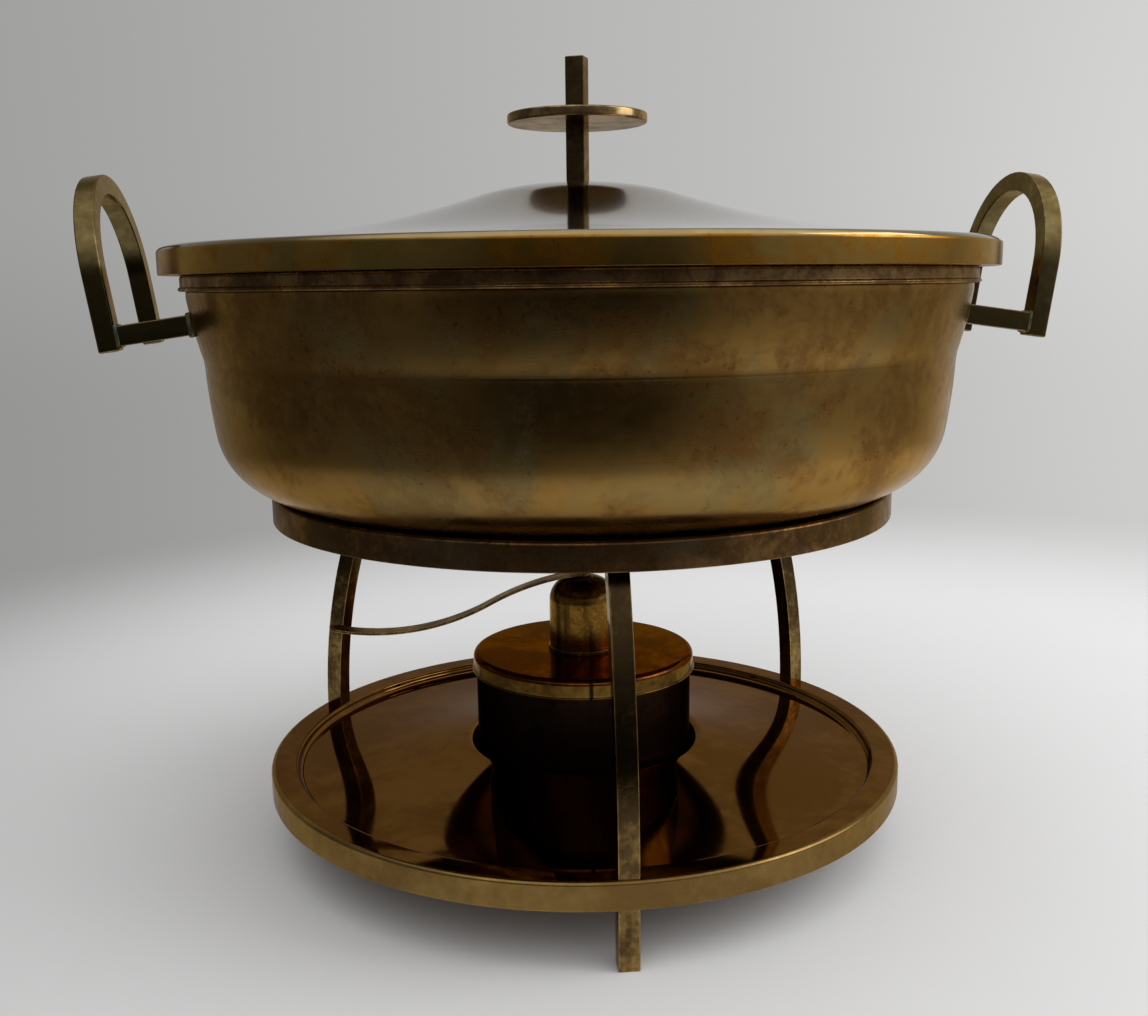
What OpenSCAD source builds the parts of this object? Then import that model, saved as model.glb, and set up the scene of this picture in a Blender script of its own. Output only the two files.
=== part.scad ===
// Brass chafing dish: a three-legged stand with a drip tray and a spirit burner under the support
// ring, a water pan with two bar handles, a food pan hung in its mouth and a lift-off domed lid.
// Millimetres, +Z up, origin on the table under the middle of the dish, handles along X, one leg at -Y.

/* [Bar stock] */
// Side of the square bar that the legs, handles, straps and knob post are cut from
bar = 6; // [5:0.1:8]

/* [Water pan] */
// Radius of the pan at the crease round its wall
pan_r = 117.4; // [100:0.1:140]
// Height from the flat bottom to the crease
bowl_h = 42; // [36:0.5:60]
// Radius of the round corner between the bottom and the wall
bowl_corner = 23; // [12:0.5:30]
// Outward lean of the wall below the crease, in degrees
bowl_lean = 2.9; // [0:0.1:6]
// Height of the collar from the crease to the pan's top edge
collar_h = 20.9; // [16:0.1:28]
// How much wider the collar is at its neck than at the crease
collar_flare = 4.2; // [3:0.1:7]
// Half of the angle by which the collar's side is bowed out, in degrees
flare_bow = 4.5; // [2:0.5:8]
// Height of the straight neck at the top of the collar
neck_h = 1.9; // [1:0.1:4]
// Thickness of the pan's sheet
pan_sheet = 1.2; // [0.8:0.1:1.8]

/* [Handles] */
// Distance between the middles of the two legs of a handle
handle_span = 54.9; // [44:0.1:66]
// Straight length of a handle's leg above the strap's middle
handle_rise = 18; // [12:0.5:26]
// Length of a handle's leg below the strap's middle
handle_drop = 4.2; // [3.6:0.1:6]
// Distance from the pan's neck to the middle of the handle's legs
handle_reach = 19.6; // [15:0.1:28]
// Height of the strap's outer end above the pan's crease
handle_seat = 8; // [6:0.5:9]
// Outward lean of the handles, in degrees
handle_lean = 8; // [4:0.5:12]

/* [Food pan] */
// Depth of the food pan from its rim to its underside
food_depth = 45; // [35:0.5:52]
// Radius of the round corner between its bottom and wall
food_corner = 14; // [8:0.5:20]
// Inward lean of its wall, in degrees
food_lean = 12; // [11:0.5:18]
// Thickness of its sheet
food_sheet = 1; // [0.8:0.1:1.4]
// Height of the rolled rim that sits on the water pan's top edge
roll_h = 4.7; // [4:0.1:7]
// How far the rolled rim reaches past the water pan's neck
roll_reach = 1.5; // [1:0.1:3]
// Radius of the bead along the rolled rim's lower edge
roll_bead = 0.6; // [0.4:0.05:0.9]

/* [Lid] */
// How far the lid reaches past the food pan's rolled rim
lid_margin = 5.4; // [3:0.1:10]
// Height of the lid's edge band
lid_band = 8.1; // [6:0.1:11]
// Radius of the rounded top corner of the edge band
lid_edge = 2; // [1.6:0.1:3]
// Width of the flat border inside the edge
lid_border = 7.1; // [5:0.1:12]
// Radius of the flat crown under the knob
crown_r = 6.5; // [6.5:0.5:14]
// Radius at which the dome turns from convex to concave
shoulder_r = 33; // [28:0.5:60]
// Slope of the dome there, in degrees
shoulder_slope = 17.6; // [12:0.2:26]
// Slope of the dome at the border, in degrees
border_slope = 2; // [0:0.5:5]
// Thickness of the lid's sheet
lid_sheet = 1.2; // [0.8:0.1:1.5]
// Depth of the seat ring's skirt inside the food pan's mouth
seat_depth = 4; // [3:0.1:8]

/* [Knob] */
// Height of the square post above the crown
post_h = 38.4; // [30:0.2:50]
// Height of the disc's underside above the crown
disc_h = 18.2; // [12:0.2:25]
// Radius of the disc
disc_r = 22.1; // [15:0.1:30]
// Thickness of the disc
disc_t = 3; // [2:0.1:4]
// Radius of the disc's rounded edges
disc_edge = 0.6; // [0.3:0.05:0.9]
// Turn of the post on the lid, in degrees
post_turn = -22.6; // [-45:0.1:45]
// Thread diameter of the screw that holds the post from inside the lid
screw_d = 4; // [3:0.5:4.5]
// Length of thread in the post
screw_grip = 10; // [6:0.5:16]

/* [Stand] */
// Height of the support ring's top face above the table
stand_h = 117; // [112:0.5:150]
// How far the ring reaches past the pan's flat bottom
ring_margin = 6.6; // [4:0.1:12]
// Width of the ring's flat top
ring_w = 26; // [25:0.5:40]
// Height of the ring's outer band
ring_band = 8.5; // [6:0.1:14]
// Thickness of the ring's sheet
ring_sheet = 1.5; // [1:0.1:2.5]
// Distance from the ring's edge to the middle of a leg's top
leg_inset = 20.4; // [14:0.1:21]

/* [Tray] */
// Height of the tray's rim above the table
tray_z = 26.6; // [20:0.2:34]
// How far the tray's edge reaches past the ring
tray_margin = 5; // [2:0.1:12]
// Height of the tray's outer band
tray_band = 8.3; // [6:0.1:14]
// Thickness of the tray's sheet
tray_sheet = 0.8; // [0.6:0.05:1.1]
// Radius of the rim's two rounded edges
rim_edge = 1.2; // [1.15:0.05:1.8]
// Step from the rim down to the floor's edge
tray_step = 3; // [2:0.1:5]
// Rise of the hollow floor from its edge to the burner well's lip
tray_rise = 5.8; // [3:0.1:8]
// Radius of the rounded lip of the burner well
well_lip = 2.5; // [1.5:0.1:4]
// Depth of the burner well below its lip
well_depth = 9.2; // [8:0.1:12]

/* [Burner] */
// Radius of the burner's cup
burner_r = 36.2; // [28:0.1:44]
// Height of the burner from the well's floor to its cover
burner_h = 39.1; // [30:0.1:42]
// Radius of the cup's bottom corner
cup_corner = 2; // [1.2:0.1:4]
// Thickness of the burner's sheet
burner_sheet = 0.7; // [0.5:0.05:1]
// Height of the cover's skirt over the cup
cover_skirt = 6.4; // [4:0.1:8]
// Radius of the cover's rounded shoulder
cover_edge = 1.2; // [0.8:0.1:1.4]
// Radius of the bead along the skirt's lower edge
cover_bead = 0.4; // [0.3:0.05:0.8]
// Radius of the wick
wick_r = 7.1; // [5:0.1:8]
// Height of the wick's lower end above the cup's floor
wick_clear = 6; // [4:0.5:12]
// Height of the wick above its tube
wick_proud = 1.5; // [0.5:0.1:3]
// Wall of the wick tube
tube_wall = 0.8; // [0.6:0.05:1.2]
// Height of the wick tube above the cover
tube_h = 14; // [8:0.5:16]
// Length of the wick tube below the cover
tube_drop = 9; // [5:0.5:16]
// Height of the tube's flange, on which the snuffer sits
flange_h = 1.3; // [1:0.1:2]
// How far the flange reaches past the snuffer
flange_margin = 0.5; // [0.3:0.1:3]

/* [Snuffer] */
// Radius of the snuffer cap
cap_r = 11.15; // [10.8:0.05:15]
// Height of the snuffer cap
cap_h = 23.5; // [22:0.1:28]
// Radius of the cap's domed shoulder
cap_dome = 8; // [5:0.1:8]
// Thickness of the cap's sheet
cap_sheet = 0.8; // [0.6:0.05:1]
// Width of the snuffer's strip handle
strip_w = 6; // [5:0.1:8]
// Thickness of the strip
strip_t = 1; // [0.8:0.05:1.4]
// Distance of the strip's tip from the cap's middle
strip_reach = 86; // [70:0.5:89]
// Distance at which the strip's curve turns from down to level
strip_turn_at = 31; // [26:0.2:44]
// Steepest slope of the strip, in degrees
strip_slope = 29; // [20:0.5:32]
// Upward slope of the strip's tip, in degrees
strip_tip = 12; // [0:0.5:14]
// Direction of the strip round the burner, in degrees from +X
strip_turn = 174; // [155:1:205]
// Radius of the rivet through the cap and strip
rivet_r = 1.5; // [1:0.05:2]
// Radius of the rivet's heads
rivet_head_r = 2.7; // [2.3:0.05:2.9]
// Height of the rivet's heads
rivet_head_h = 0.8; // [0.5:0.05:1.2]

/* [Fits] */
// Gap round pieces that are soldered or fixed together
solder_gap = 0.05; // [0.02:0.01:0.1]
// Gap between a leg and the inside of the tray's band
leg_gap = 0.3; // [0.2:0.05:0.6]
// Strip of rim left inside a leg's hole
rim_web = 0.5; // [0.4:0.05:1.5]
// Gap between the burner's cup and its well
well_gap = 1; // [0.5:0.1:2]
// Gap between the burner's cup and its cover
cover_gap = 0.3; // [0.3:0.05:0.6]
// Gap between the food pan's wall and the inside of the water pan's neck
mouth_gap = 1; // [0.5:0.1:2]
// Gap between the lid's seat ring and the food pan's wall
seat_gap = 0.7; // [0.4:0.05:1.5]

/* [Hidden] */
$fn = 96;
// Straight pieces in each arc of a spun outline
arc_steps = 14;
// Overrun of a cutting shape past the face that it cuts
cut = 1;

// Outline of the water pan
pan_z = stand_h;
crease_z = pan_z + bowl_h;
pan_top = crease_z + collar_h;
neck_z = pan_top - neck_h;
neck_r = pan_r + collar_flare;
flare_h = neck_z - crease_z;
flare_lean = atan(collar_flare / flare_h);
flare_r = norm([collar_flare, flare_h]) / (2 * sin(flare_bow));
bowl_flat_r = pan_r - (bowl_corner + (bowl_h - bowl_corner) * sin(bowl_lean)) / cos(bowl_lean);

// Support ring, tray and legs
ring_r = bowl_flat_r + ring_margin;
ring_z = stand_h - ring_sheet;
tray_r = ring_r + tray_margin;
leg_r = tray_r - tray_sheet - leg_gap - bar / 2;
leg_top_r = ring_r - leg_inset;
leg_lean = leg_r - leg_top_r;
leg_curve_h = ring_z - tray_z;
leg_curve_r = (pow(leg_lean, 2) + pow(leg_curve_h, 2)) / (2 * leg_lean);
LEG_ANGLES = [-90, 30, 150];
rim_r = leg_r - bar / 2 - rim_web;
cove_r = tray_step - rim_edge + tray_sheet;
floor_z = tray_z - tray_step;
lip_z = floor_z + tray_rise;
well_z = lip_z - well_depth;
well_r = burner_r + well_gap;
floor_r = rim_r - rim_edge - cove_r + tray_sheet;
floor_span = floor_r - well_r - well_lip;
floor_turn = 2 * atan(tray_rise / floor_span);
floor_curve_r = floor_span / sin(floor_turn) - well_lip;

// Food pan
rim_top = pan_top + roll_h;
food_z = rim_top - food_depth;
food_r = neck_r - pan_sheet - mouth_gap;
food_wall_h = pan_top - food_z - food_corner;
food_flat_r = food_r - (food_corner + food_wall_h * sin(food_lean)) / cos(food_lean);
food_top_r = food_r + roll_h * tan(food_lean);
food_mouth_r = food_top_r - food_sheet / cos(food_lean);
roll_r = neck_r + roll_reach;

// Lid and knob
lid_r = roll_r + roll_bead + lid_margin;
lid_top = rim_top + lid_band;
border_r = lid_r - lid_border;
convex_r = (shoulder_r - crown_r) / sin(shoulder_slope);
concave_r = (border_r - shoulder_r) / (sin(shoulder_slope) - sin(border_slope));
shoulder_z = lid_top + concave_r * (cos(border_slope) - cos(shoulder_slope));
crown_z = shoulder_z + convex_r * (1 - cos(shoulder_slope));
seat_r = food_mouth_r - seat_depth * tan(food_lean) - seat_gap;
washer_r = 1.5 * screw_d;
washer_t = screw_d / 5;
screw_head_r = 0.95 * screw_d;
screw_head_h = 0.6 * screw_d;
screw_slot = screw_d / 4;

// Burner and snuffer
cover_z = well_z + burner_h;
cup_top = cover_z - burner_sheet;
cover_r = burner_r + cover_gap + burner_sheet;
tube_bore = wick_r + solder_gap;
tube_r = tube_bore + tube_wall;
flange_z = cover_z + flange_h;
cap_top = flange_z + cap_h;
rivet_hole_r = rivet_r + solder_gap;

// Strip: flat seat on the cap, a short bend, a drooping arc and a rising arc
strip_seat = strip_w / 2;
strip_start = 10;
strip_bend_r = 12;
bend_end = strip_seat + strip_bend_r * sin(strip_start);
droop_r = (strip_turn_at - bend_end) / (sin(strip_slope) - sin(strip_start));
upturn_r = (strip_reach - strip_turn_at) / (sin(strip_slope) + sin(strip_tip));
strip_z = cap_top + strip_t / 2;
bend_end_z = strip_z - strip_bend_r * (1 - cos(strip_start));
turn_z = bend_end_z - droop_r * (cos(strip_start) - cos(strip_slope));

// Points of an arc about c, from one angle to another
function arc(c, r, from, to) = [
    for (i = [0:arc_steps])
        let (a = from + (to - from) * i / arc_steps)
        c + r * [cos(a), sin(a)]
];

function reversed(points) = [for (i = [len(points) - 1:-1:0]) points[i]];

// Sheet metal spun round the Z axis between two lines of its outline
module spun(first, second) {
    rotate_extrude() polygon(concat(first, reversed(second)));
}

// Outline of the water pan, t in from its outside
function pan_line(t) = concat(
    [[0, pan_z + t]],
    arc([bowl_flat_r, pan_z + bowl_corner], bowl_corner - t, -90, -bowl_lean),
    arc([neck_r - flare_r * cos(flare_lean - flare_bow), neck_z + flare_r * sin(flare_lean - flare_bow)],
        flare_r - t, -flare_lean - flare_bow, flare_bow - flare_lean),
    [[neck_r - t, pan_top]]
);

// Top of the tray's sheet at t = 0, its underside at t = tray_sheet
function tray_line(t) = concat(
    [[tray_r - t, tray_z - tray_band]],
    arc([tray_r - rim_edge, tray_z - rim_edge], rim_edge - t, 0, 90),
    arc([rim_r, tray_z - rim_edge], rim_edge - t, 90, 180),
    arc([floor_r, floor_z + cove_r - tray_sheet], cove_r - tray_sheet + t, 0, -90),
    arc([floor_r, floor_z + floor_curve_r], floor_curve_r + t, -90, -90 - floor_turn),
    arc([well_r + well_lip, lip_z - well_lip], well_lip - t, 90 - floor_turn, 180),
    arc([well_r - cup_corner, well_z + cup_corner], cup_corner + t, 0, -90),
    [[0, well_z - t]]
);

// Outline of the lid, t in from its outside
function lid_line(t) = concat(
    [[0, crown_z - t]],
    arc([crown_r, crown_z - convex_r], convex_r - t, 90, 90 - shoulder_slope),
    arc([border_r + concave_r * sin(border_slope), lid_top + concave_r * cos(border_slope)],
        concave_r + t, 270 - shoulder_slope, 270 - border_slope),
    arc([lid_r - lid_edge, lid_top - lid_edge], lid_edge - t, 90, 0),
    [[lid_r - t, rim_top]]
);

// Outline of the food pan below its rolled rim, t in from its outside
function food_line(t) = concat(
    [[0, food_z + t]],
    arc([food_flat_r, food_z + food_corner], food_corner - t, -90, -food_lean)
);

// Middle of the snuffer's strip, s to its upper side
function strip_line(s) = concat(
    [[-strip_seat, strip_z + s]],
    arc([strip_seat, strip_z - strip_bend_r], strip_bend_r + s, 90, 90 - strip_start),
    arc([bend_end - droop_r * sin(strip_start), bend_end_z - droop_r * cos(strip_start)],
        droop_r + s, 90 - strip_start, 90 - strip_slope),
    arc([strip_turn_at + upturn_r * sin(strip_slope), turn_z + upturn_r * cos(strip_slope)],
        upturn_r - s, 270 - strip_slope, 270 + strip_tip)
);

module support_ring() {
    color("#6b4a2b") spun(
        concat(
            [[ring_r - ring_w, stand_h]],
            arc([ring_r - ring_sheet, stand_h - ring_sheet], ring_sheet, 90, 0),
            [[ring_r, stand_h - ring_band]]
        ),
        [
            [ring_r - ring_w, ring_z],
            [ring_r - ring_sheet, ring_z],
            [ring_r - ring_sheet, stand_h - ring_band]
        ]
    );
}

// A leg in its own radial plane: a straight foot, then one arc leaning in under the ring
module leg_outline() {
    translate([leg_r - bar / 2, 0]) square([bar, tray_z]);
    intersection() {
        translate([leg_r - leg_curve_r, tray_z]) difference() {
            circle(leg_curve_r + bar / 2);
            circle(leg_curve_r - bar / 2);
        }
        translate([0, tray_z]) square([leg_r + bar, leg_curve_h]);
    }
}

module leg(angle) {
    color("#8f6d3a") rotate([0, 0, angle]) rotate([90, 0, 0])
        linear_extrude(bar, center = true) leg_outline();
}

module tray() {
    hole = bar + 2 * solder_gap;
    color("#a07a3c") difference() {
        spun(tray_line(0), tray_line(tray_sheet));
        for (angle = LEG_ANGLES)
            rotate([0, 0, angle]) translate([leg_r - hole / 2, -hole / 2, tray_z - tray_sheet - cut])
                cube([hole, hole, tray_sheet + 2 * cut]);
    }
}

module water_pan() {
    color("#7d6136") spun(pan_line(0), pan_line(pan_sheet));
}

// Puts a handle's own plane at the side of the pan: side is 1 for +X and -1 for -X
module at_handle(side) {
    rotate([0, 0, side > 0 ? 0 : 180])
        translate([neck_r + handle_reach, 0, crease_z + handle_seat])
            rotate([0, handle_lean, 0]) children();
}

// Half a disc on a rectangle
module arch_outline(half_width, below) {
    translate([0, handle_rise]) intersection() {
        circle(half_width);
        translate([-half_width, 0]) square([2 * half_width, half_width]);
    }
    translate([-half_width, -below]) square([2 * half_width, handle_rise + below]);
}

module handle_arch(side) {
    color("#7a6434") at_handle(side) rotate([90, 0, 90])
        linear_extrude(bar, center = true) difference() {
            arch_outline((handle_span + bar) / 2, handle_drop);
            arch_outline((handle_span - bar) / 2, handle_drop + cut);
        }
}

// A strap from the pan's collar to a handle's leg: end is 1 for the rear strap and -1 for the front
module handle_strap(side, end) {
    strap_end = handle_reach + neck_r - pan_r + bar;
    color("#7a6434") difference() {
        at_handle(side) translate([-bar / 2 - strap_end, side * end * handle_span / 2 - bar / 2, -bar / 2])
            cube([strap_end, bar, bar]);
        rotate_extrude() polygon(concat(pan_line(-solder_gap), [[0, pan_top]]));
    }
}

// The wall turns out at the top, down in a beaded band and back in under itself, onto the water pan's edge
module food_pan() {
    under = rim_top - food_sheet;
    turn = pan_top + food_sheet;
    turn_r = neck_r - pan_sheet;
    color("#b8955a") spun(
        concat(
            food_line(0),
            [[food_top_r - food_sheet * tan(food_lean), under], [roll_r - food_sheet, under],
             [roll_r - food_sheet, turn], [turn_r, turn], [turn_r, pan_top]]
        ),
        concat(
            food_line(food_sheet),
            [[food_mouth_r, rim_top]],
            arc([roll_r - food_sheet, under], food_sheet, 90, 0),
            arc([roll_r, pan_top + roll_bead], roll_bead, 90, -90)
        )
    );
}

module lid_shell() {
    hole_r = screw_d / 2 + solder_gap;
    color("#8c7443") difference() {
        spun(lid_line(0), lid_line(lid_sheet));
        translate([0, 0, crown_z - lid_sheet - cut]) cylinder(h = lid_sheet + 2 * cut, r = hole_r);
    }
}

module lid_seat_ring() {
    flange_r = lid_r - lid_sheet - solder_gap;
    color("#8a6a3a") spun(
        [[flange_r, rim_top + lid_sheet], [seat_r - lid_sheet, rim_top + lid_sheet],
         [seat_r - lid_sheet, rim_top - seat_depth]],
        [[flange_r, rim_top], [seat_r, rim_top], [seat_r, rim_top - seat_depth]]
    );
}

module lid_post() {
    color("#4f4028") difference() {
        rotate([0, 0, post_turn]) translate([-bar / 2, -bar / 2, crown_z]) cube([bar, bar, post_h]);
        translate([0, 0, crown_z - cut])
            cylinder(h = screw_grip + 2 * cut, r = screw_d / 2 + solder_gap);
    }
}

module lid_disc() {
    hole = bar + 2 * solder_gap;
    color("#5e4a2a") translate([0, 0, crown_z + disc_h]) difference() {
        rotate_extrude() polygon(concat(
            [[0, 0]],
            arc([disc_r - disc_edge, disc_edge], disc_edge, -90, 0),
            arc([disc_r - disc_edge, disc_t - disc_edge], disc_edge, 0, 90),
            [[0, disc_t]]
        ));
        rotate([0, 0, post_turn]) translate([-hole / 2, -hole / 2, -cut])
            cube([hole, hole, disc_t + 2 * cut]);
    }
}

module knob_washer() {
    color("#a38a55") translate([0, 0, crown_z - lid_sheet - washer_t]) difference() {
        cylinder(h = washer_t, r = washer_r);
        translate([0, 0, -cut]) cylinder(h = washer_t + 2 * cut, r = screw_d / 2 + solder_gap);
    }
}

module knob_screw() {
    head_z = crown_z - lid_sheet - washer_t - screw_head_h;
    color("#b09a6a") difference() {
        union() {
            translate([0, 0, head_z]) cylinder(h = screw_head_h, r = screw_head_r);
            translate([0, 0, head_z]) cylinder(h = crown_z + screw_grip - head_z, r = screw_d / 2);
        }
        translate([-screw_head_r - cut, -screw_slot / 2, head_z - cut])
            cube([2 * (screw_head_r + cut), screw_slot, screw_head_h / 2 + cut]);
    }
}

module burner_cup() {
    corner = [burner_r - cup_corner, well_z + cup_corner];
    color("#3a2417") spun(
        concat([[0, well_z]], arc(corner, cup_corner, -90, 0), [[burner_r, cup_top]]),
        concat(
            [[0, well_z + burner_sheet]],
            arc(corner, cup_corner - burner_sheet, -90, 0),
            [[burner_r - burner_sheet, cup_top]]
        )
    );
}

module burner_cover() {
    skirt_z = cover_z - cover_skirt;
    color("#5a2f1c") difference() {
        spun(
            concat(
                [[0, cover_z]],
                arc([cover_r - cover_edge, cover_z - cover_edge], cover_edge, 90, 0),
                arc([cover_r, skirt_z + cover_bead], cover_bead, 90, -90)
            ),
            [[0, cup_top], [cover_r - burner_sheet, cup_top], [cover_r - burner_sheet, skirt_z]]
        );
        translate([0, 0, cup_top - cut]) cylinder(h = burner_sheet + 2 * cut, r = tube_r + solder_gap);
    }
}

module wick_tube() {
    tube_z = cup_top - tube_drop;
    color("#8a6a34") difference() {
        union() {
            translate([0, 0, tube_z]) cylinder(h = cover_z + tube_h - tube_z, r = tube_r);
            translate([0, 0, cover_z]) cylinder(h = flange_h, r = cap_r + flange_margin);
        }
        translate([0, 0, tube_z - cut]) cylinder(h = cover_z + tube_h - tube_z + 2 * cut, r = tube_bore);
    }
}

module wick() {
    wick_z = well_z + burner_sheet + wick_clear;
    color("#d8d0bd") translate([0, 0, wick_z])
        cylinder(h = cover_z + tube_h + wick_proud - wick_z, r = wick_r);
}

module snuffer_cap() {
    dome = [cap_r - cap_dome, cap_top - cap_dome];
    color("#97753a") difference() {
        spun(
            concat([[0, cap_top]], arc(dome, cap_dome, 90, 0), [[cap_r, flange_z]]),
            concat(
                [[0, cap_top - cap_sheet]],
                arc(dome, cap_dome - cap_sheet, 90, 0),
                [[cap_r - cap_sheet, flange_z]]
            )
        );
        translate([0, 0, cap_top - cap_sheet - cut]) cylinder(h = cap_sheet + 2 * cut, r = rivet_hole_r);
    }
}

// The strip seen from above: a band with two round ends
module strip_plan() {
    tip = strip_reach - strip_w / 2;
    circle(strip_w / 2);
    translate([0, -strip_w / 2]) square([tip, strip_w]);
    translate([tip, 0]) circle(strip_w / 2);
}

module snuffer_handle() {
    color("#7c6032") rotate([0, 0, strip_turn]) difference() {
        intersection() {
            rotate([90, 0, 0]) linear_extrude(strip_w, center = true)
                polygon(concat(strip_line(strip_t / 2), reversed(strip_line(-strip_t / 2))));
            linear_extrude(cap_top + strip_reach) strip_plan();
        }
        translate([0, 0, cap_top - cut]) cylinder(h = strip_t + 2 * cut, r = rivet_hole_r);
    }
}

module snuffer_rivet() {
    under = cap_top - cap_sheet;
    over = cap_top + strip_t;
    color("#a08040") {
        translate([0, 0, under - rivet_head_h]) cylinder(h = rivet_head_h, r = rivet_head_r);
        translate([0, 0, under]) cylinder(h = over - under, r = rivet_r);
        translate([0, 0, over]) cylinder(h = rivet_head_h, r = rivet_head_r);
    }
}

support_ring();
leg(LEG_ANGLES[0]);  // leg_front
leg(LEG_ANGLES[1]);  // leg_right
leg(LEG_ANGLES[2]);  // leg_left
tray();
water_pan();
handle_arch(1);  // handle_right_arch
handle_arch(-1);  // handle_left_arch
handle_strap(1, -1);  // handle_right_strap_front
handle_strap(1, 1);  // handle_right_strap_rear
handle_strap(-1, -1);  // handle_left_strap_front
handle_strap(-1, 1);  // handle_left_strap_rear
food_pan();
lid_shell();
lid_seat_ring();
lid_post();
lid_disc();
knob_screw();
knob_washer();
burner_cup();
burner_cover();
wick_tube();
wick();
snuffer_cap();
snuffer_handle();
snuffer_rivet();
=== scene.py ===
import math
import bpy
from mathutils import Matrix, Vector


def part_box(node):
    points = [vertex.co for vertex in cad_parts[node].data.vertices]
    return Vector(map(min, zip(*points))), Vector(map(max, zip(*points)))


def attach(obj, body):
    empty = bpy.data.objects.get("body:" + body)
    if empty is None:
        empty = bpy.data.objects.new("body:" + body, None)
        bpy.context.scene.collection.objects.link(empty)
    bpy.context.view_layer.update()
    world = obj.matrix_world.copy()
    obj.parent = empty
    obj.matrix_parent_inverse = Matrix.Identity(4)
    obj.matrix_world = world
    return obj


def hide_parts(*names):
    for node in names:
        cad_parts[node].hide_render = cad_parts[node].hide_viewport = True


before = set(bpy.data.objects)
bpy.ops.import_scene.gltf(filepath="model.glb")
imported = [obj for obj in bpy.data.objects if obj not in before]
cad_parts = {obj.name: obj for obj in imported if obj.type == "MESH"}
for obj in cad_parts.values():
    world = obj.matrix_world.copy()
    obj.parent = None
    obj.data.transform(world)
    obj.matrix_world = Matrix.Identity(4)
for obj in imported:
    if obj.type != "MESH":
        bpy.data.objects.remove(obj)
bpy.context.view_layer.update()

# Drip tray: one disc of thin brass sheet, spun on a lathe and lacquered to an amber mirror. The legs pass
# through its flat rim, its satin outer band stiffens the edge, and its floor sweeps up to the burner's well.
MM = 0.001
MERGE_GAP = 1e-6
SPIN_STEPS = 168
SHARP_ANGLE = 38


def corners(node):
    """The lowest and highest corners of a CAD node, in millimetres."""
    low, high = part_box(node)
    return low / MM, high / MM


def sine(angle):
    return math.sin(math.radians(angle))


def cosine(angle):
    return math.cos(math.radians(angle))


def arc(centre, radius, start, end, steps=9):
    """Points (radius, height) of an arc about a centre, from one angle to another, in degrees."""
    turns = [math.radians(start + (end - start) * i / steps) for i in range(steps + 1)]
    return [(centre[0] + radius * math.cos(turn), centre[1] + radius * math.sin(turn)) for turn in turns]


def take(piece):
    """Makes one piece the only selected and the active object."""
    bpy.ops.object.select_all(action="DESELECT")
    piece.select_set(True)
    bpy.context.view_layer.objects.active = piece


def draw_line(name, points, closed):
    """A new piece in edit mode: one vertex, extruded from point to point."""
    bpy.ops.object.select_all(action="DESELECT")
    bpy.ops.mesh.primitive_plane_add(size=MM)
    piece = bpy.context.object
    piece.name = piece.data.name = name
    bpy.ops.object.mode_set(mode="EDIT")
    bpy.ops.mesh.select_mode(type="VERT")
    bpy.ops.mesh.select_all(action="SELECT")
    bpy.ops.mesh.merge(type="CENTER")
    bpy.ops.transform.translate(value=points[0])
    for here, there in zip(points, points[1:] + points[:1] * closed):
        bpy.ops.mesh.extrude_vertices_move(TRANSFORM_OT_translate={"value": there - here})
    bpy.ops.mesh.select_all(action="SELECT")
    bpy.ops.mesh.remove_doubles(threshold=MERGE_GAP)
    return piece


def finish_mesh():
    """Turns all faces of the piece in edit mode outwards and leaves edit mode."""
    bpy.ops.mesh.select_all(action="SELECT")
    bpy.ops.mesh.normals_make_consistent(inside=False)
    bpy.ops.object.mode_set(mode="OBJECT")


def spin_sheet(name, outline, steps=SPIN_STEPS):
    """A piece spun round the upright axis from an outline of (radius, height) points in millimetres."""
    points = [Vector((radius, 0, height)) * MM for radius, height in outline]
    closed = outline[0][0] > 0 or outline[-1][0] > 0
    piece = draw_line(name, points, closed)
    bpy.ops.mesh.spin(steps=steps, angle=2 * math.pi, center=(0, 0, 0), axis=(0, 0, 1))
    bpy.ops.mesh.select_all(action="SELECT")
    bpy.ops.mesh.remove_doubles(threshold=MERGE_GAP)
    finish_mesh()
    return piece


def round_edges(piece, width, segments=2):
    """Rounds every sharp edge of a piece, as handling and polishing do."""
    take(piece)
    bevel = piece.modifiers.new("rounded_edges", "BEVEL")
    bevel.width = width * MM
    bevel.segments = segments
    bevel.limit_method = "ANGLE"
    bevel.angle_limit = math.radians(SHARP_ANGLE)
    bpy.ops.object.modifier_apply(modifier=bevel.name)


def smooth(piece):
    """Smooth shading that keeps flats flat and sharp edges sharp."""
    take(piece)
    bpy.ops.object.shade_smooth_by_angle(angle=math.radians(SHARP_ANGLE))
    even = piece.modifiers.new("even_normals", "WEIGHTED_NORMAL")
    even.keep_sharp = True
    bpy.ops.object.modifier_apply(modifier=even.name)


def trim(piece, cutter, operation="DIFFERENCE"):
    """Takes the cutter's shape out of a piece, or keeps only what lies in it, and removes the cutter."""
    take(piece)
    cut = piece.modifiers.new("cut", "BOOLEAN")
    cut.operation = operation
    cut.solver = "EXACT"
    cut.object = cutter
    bpy.ops.object.modifier_apply(modifier=cut.name)
    bpy.data.objects.remove(cutter)


def paint(piece, material, test=None):
    """Gives a finish to the whole piece, or to the faces whose middle (mm) and normal pass the test."""
    piece.data.materials.append(material)
    slot = len(piece.data.materials) - 1
    for face in piece.data.polygons:
        if test is None or test(face.center / MM, face.normal):
            face.material_index = slot


def stand_for(piece, node, body):
    """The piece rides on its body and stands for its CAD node."""
    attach(piece, body)
    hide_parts(node)


def add_node(tree, kind, inputs=None, **settings):
    """One shader node: an input is linked where its value is a socket and set where it is a number."""
    made = tree.nodes.new("ShaderNode" + kind)
    for name, value in settings.items():
        setattr(made, name, value)
    for name, value in (inputs or {}).items():
        if isinstance(value, bpy.types.NodeSocket):
            tree.links.new(value, made.inputs[name])
        else:
            made.inputs[name].default_value = value
    return made


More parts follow.
